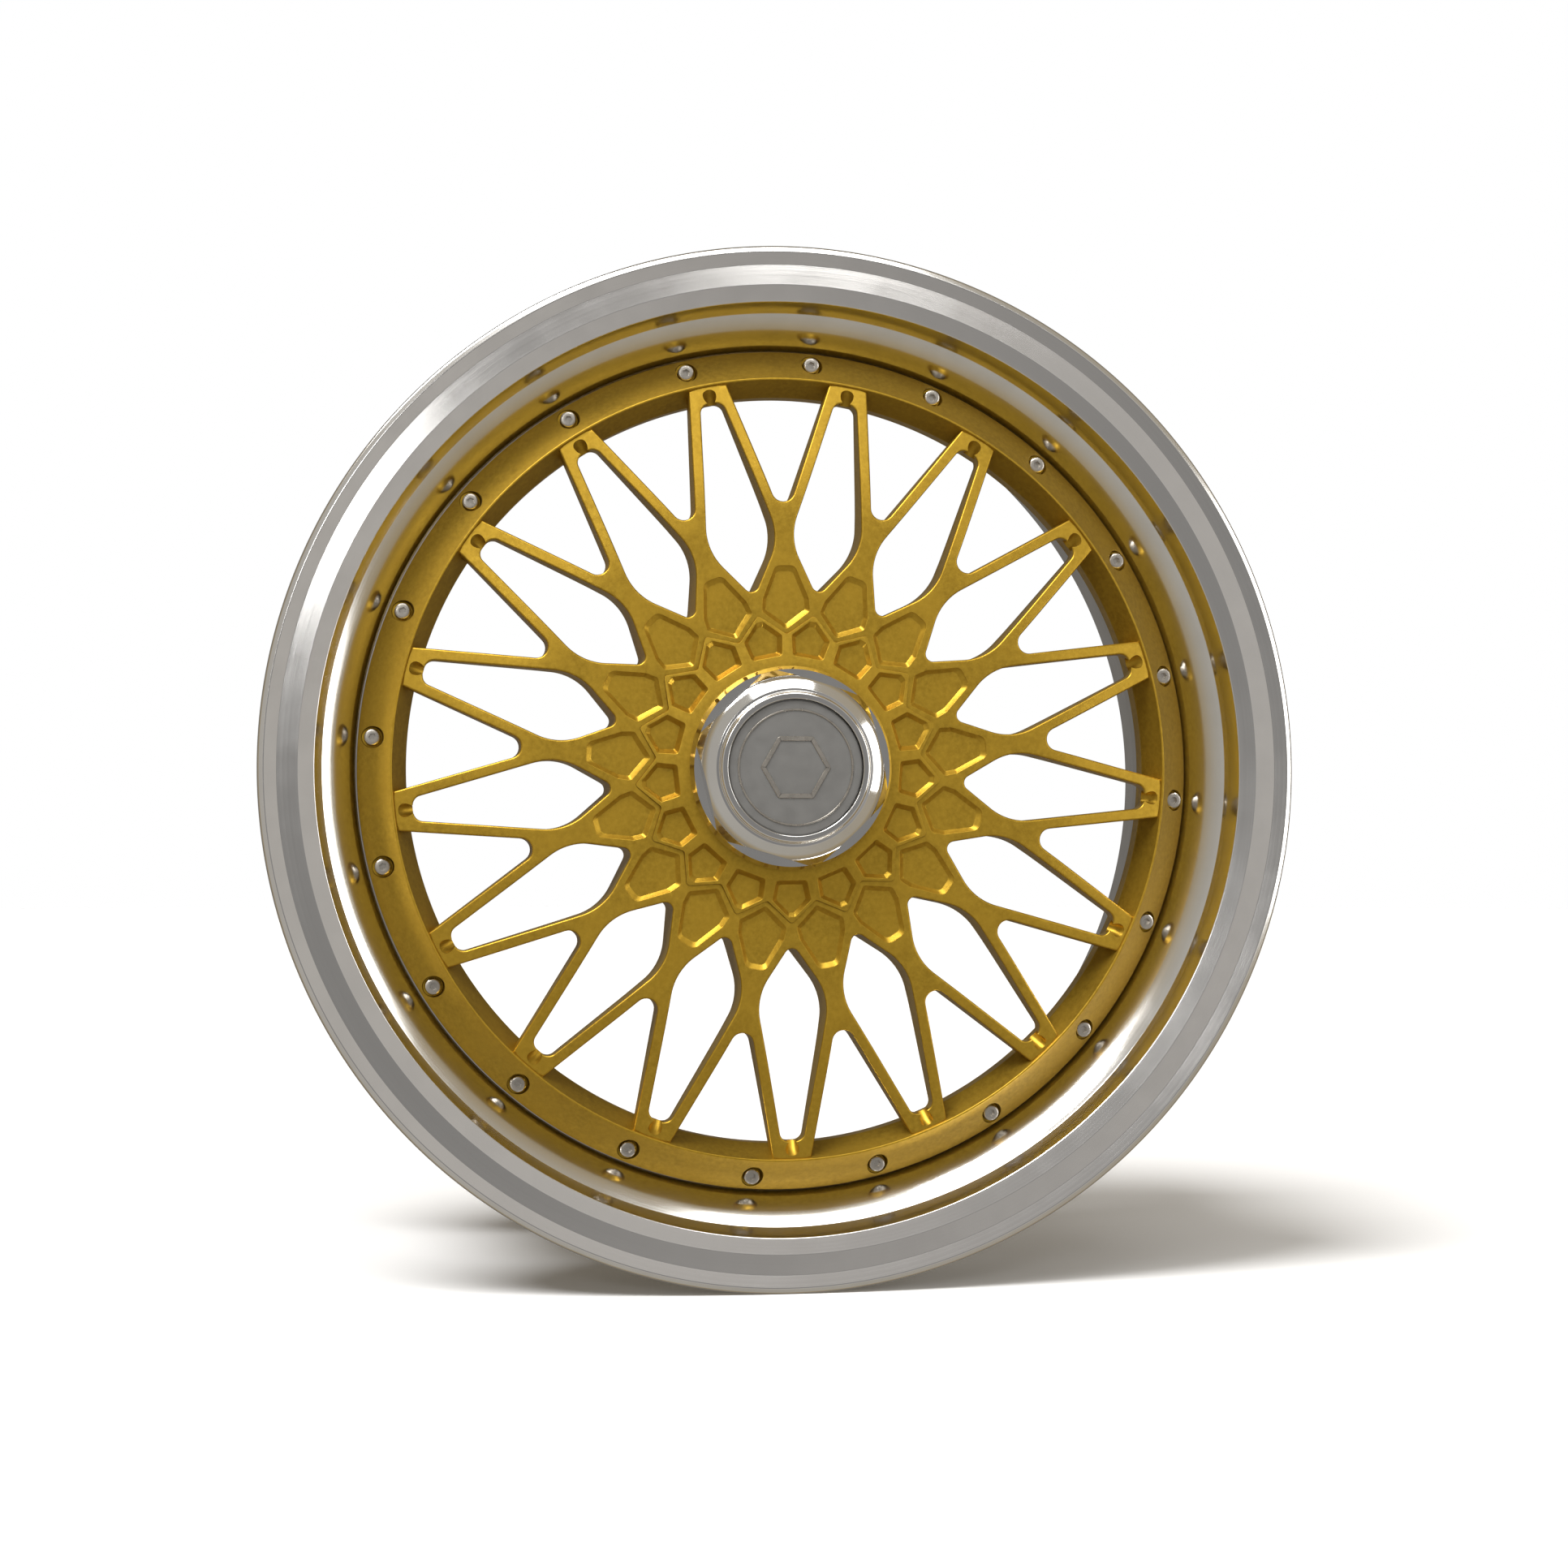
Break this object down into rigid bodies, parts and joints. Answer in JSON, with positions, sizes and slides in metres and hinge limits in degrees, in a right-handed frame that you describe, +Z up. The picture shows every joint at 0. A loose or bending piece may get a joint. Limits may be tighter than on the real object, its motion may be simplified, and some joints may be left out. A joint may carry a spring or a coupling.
{
  "type": "wheel",
  "caption": "Three-piece forged racing wheel with a mesh of Y spokes in a bolted centre disc, a stepped polished rim, a honeycomb hub and a round centre nut.",
  "frame": {"origin": "centre of the bounding box, on the wheel's axis, 9.9 mm outboard of the middle of the rim", "axes": "+Y along the wheel's axis, from the outboard face towards the car; +Z up; +X to the right as seen from outboard"},
  "size_m": [0.4966, 0.2472, 0.4966],
  "materials": {
    "gold_finish": "satin gold over shot-blasted forging, fine grain",
    "polished_aluminium": "polished, with fine turning lines",
    "machined_aluminium": "satin turned",
    "bright_steel": "bright zinc plated",
    "plated_brass": "nickel plated",
    "grey_sealant": "matt silicone",
    "black_rubber": "matt",
    "emblem_grey": "satin grey"
  },
  "bodies": {
    "root": {"outer_rim_half": "polished_aluminium", "inner_rim_half": "machined_aluminium", "rim_seal": "grey_sealant", "centre_disc": "gold_finish", "rim_bolt_01": "bright_steel", "rim_bolt_02": "bright_steel", "rim_bolt_03": "bright_steel", "rim_bolt_04": "bright_steel", "rim_bolt_05": "bright_steel", "rim_bolt_06": "bright_steel", "rim_bolt_07": "bright_steel", "rim_bolt_08": "bright_steel", "rim_bolt_09": "bright_steel", "rim_bolt_10": "bright_steel", "rim_bolt_11": "bright_steel", "rim_bolt_12": "bright_steel", "rim_bolt_13": "bright_steel", "rim_bolt_14": "bright_steel", "rim_bolt_15": "bright_steel", "rim_bolt_16": "bright_steel", "rim_bolt_17": "bright_steel", "rim_bolt_18": "bright_steel", "rim_bolt_19": "bright_steel", "rim_bolt_20": "bright_steel", "rim_nut_01": "bright_steel", "rim_nut_02": "bright_steel", "rim_nut_03": "bright_steel", "rim_nut_04": "bright_steel", "rim_nut_05": "bright_steel", "rim_nut_06": "bright_steel", "rim_nut_07": "bright_steel", "rim_nut_08": "bright_steel", "rim_nut_09": "bright_steel", "rim_nut_10": "bright_steel", "rim_nut_11": "bright_steel", "rim_nut_12": "bright_steel", "rim_nut_13": "bright_steel", "rim_nut_14": "bright_steel", "rim_nut_15": "bright_steel", "rim_nut_16": "bright_steel", "rim_nut_17": "bright_steel", "rim_nut_18": "bright_steel", "rim_nut_19": "bright_steel", "rim_nut_20": "bright_steel", "honeycomb_cover": "gold_finish", "threaded_sleeve": "bright_steel", "hub_centring_ring": "machined_aluminium", "centring_ring_clip": "bright_steel", "valve_body": "plated_brass", "valve_grommet": "black_rubber", "valve_washer": "bright_steel", "valve_nut": "bright_steel", "valve_core": "plated_brass"},
    "nut_seal": {"cap_nut_oring": "black_rubber"},
    "centre_nut": {"hex_cap_nut": "polished_aluminium", "emblem_plate": "emblem_grey"},
    "valve_pin": {"valve_pin": "plated_brass"},
    "cap_seal": {"valve_cap_seal": "black_rubber"},
    "valve_cap": {"valve_cap": "polished_aluminium"}
  },
  "joints": [
    {"name": "centre_nut_travel", "type": "slide", "parent": "root", "child": "nut_seal", "axis": [0, -1, 0], "range_m": [0, 0.0061]},
    {"name": "centre_nut_turn", "type": "hinge", "parent": "nut_seal", "child": "centre_nut", "pos_m": [0, -0.1111, 0], "axis": [0, -1, 0], "range_deg": [0, 1440]},
    {"name": "valve_pin_press", "type": "slide", "parent": "root", "child": "valve_pin", "axis": [-0.9939, 0, -0.1106], "range_m": [0, 0.0008], "stiffness_N_per_m": 800, "springref_m": -0.001},
    {"name": "valve_cap_travel", "type": "slide", "parent": "root", "child": "cap_seal", "axis": [0.9939, 0, 0.1106], "range_m": [0, 0.0048]},
    {"name": "valve_cap_turn", "type": "hinge", "parent": "cap_seal", "child": "valve_cap", "pos_m": [-0.18386, -0.0376, -0.02047], "axis": [0.9939, 0, 0.1106], "range_deg": [0, 2161]}
  ],
  "couplings": [
    {"joint": "centre_nut_travel", "follows": "centre_nut_turn", "m_per_rad": 0.00023873},
    {"joint": "valve_cap_turn", "follows": "valve_cap_travel", "rad_per_m": 7854}
  ]
}
